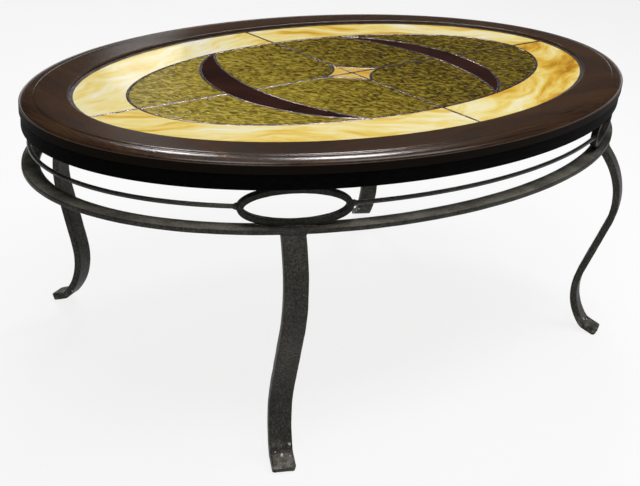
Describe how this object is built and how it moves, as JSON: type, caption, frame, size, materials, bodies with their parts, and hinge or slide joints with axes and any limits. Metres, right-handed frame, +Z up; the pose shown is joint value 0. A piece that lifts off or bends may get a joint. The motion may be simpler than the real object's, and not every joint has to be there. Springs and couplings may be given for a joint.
{
  "type": "oval coffee table",
  "caption": "Oval coffee table: dark stained wooden frame round a leaded coloured-glass panel, on a black wrought-iron base with cabriole legs.",
  "frame": {"origin": "middle of the table on the floor plane", "axes": "+X along the table's long axis, +Y along its short axis towards the back, +Z up"},
  "size_m": [1.22, 0.775, 0.49],
  "materials": {
    "wood_espresso": "satin",
    "wood_black": "matte",
    "glass_cream": "gloss",
    "glass_olive": "gloss",
    "glass_brown": "gloss",
    "glass_amber": "gloss",
    "glass_clear": "gloss",
    "lead": "satin",
    "solder": "satin",
    "iron": "satin",
    "pad": "matte",
    "screw_steel": "satin"
  },
  "bodies": {
    "root": {"top_frame_front": "wood_espresso", "top_frame_back": "wood_espresso", "top_frame_left": "wood_espresso", "top_frame_right": "wood_espresso", "joint_tongues": "wood_black", "lower_moulding_front": "wood_black", "lower_moulding_back": "wood_black", "lower_moulding_left": "wood_black", "lower_moulding_right": "wood_black", "setting_pads": "pad", "bearer_glass": "glass_clear", "edge_came": "lead", "solder_seams": "solder", "border_pane_back_right": "glass_cream", "inner_ground_pane_back_right": "glass_olive", "outer_ground_pane_back_right": "glass_olive", "star_pane_back_right": "glass_amber", "border_pane_back_left": "glass_cream", "inner_ground_pane_back_left": "glass_olive", "outer_ground_pane_back_left": "glass_olive", "star_pane_back_left": "glass_amber", "border_pane_front_left": "glass_cream", "inner_ground_pane_front_left": "glass_olive", "outer_ground_pane_front_left": "glass_olive", "star_pane_front_left": "glass_amber", "border_pane_front_right": "glass_cream", "inner_ground_pane_front_right": "glass_olive", "outer_ground_pane_front_right": "glass_olive", "star_pane_front_right": "glass_amber", "crescent_pane_left": "glass_brown", "crescent_pane_right": "glass_brown", "upper_ring": "iron", "lower_hoop_front": "iron", "lower_hoop_back": "iron", "lower_hoop_left": "iron", "lower_hoop_right": "iron", "ornament_back_right": "iron", "leg_back_right": "iron", "ornament_back_left": "iron", "leg_back_left": "iron", "ornament_front_left": "iron", "leg_front_left": "iron", "ornament_front_right": "iron", "leg_front_right": "iron", "rod_front": "iron", "rod_back": "iron", "rod_left": "iron", "rod_right": "iron", "top_screws": "screw_steel"}
  },
  "joints": []
}
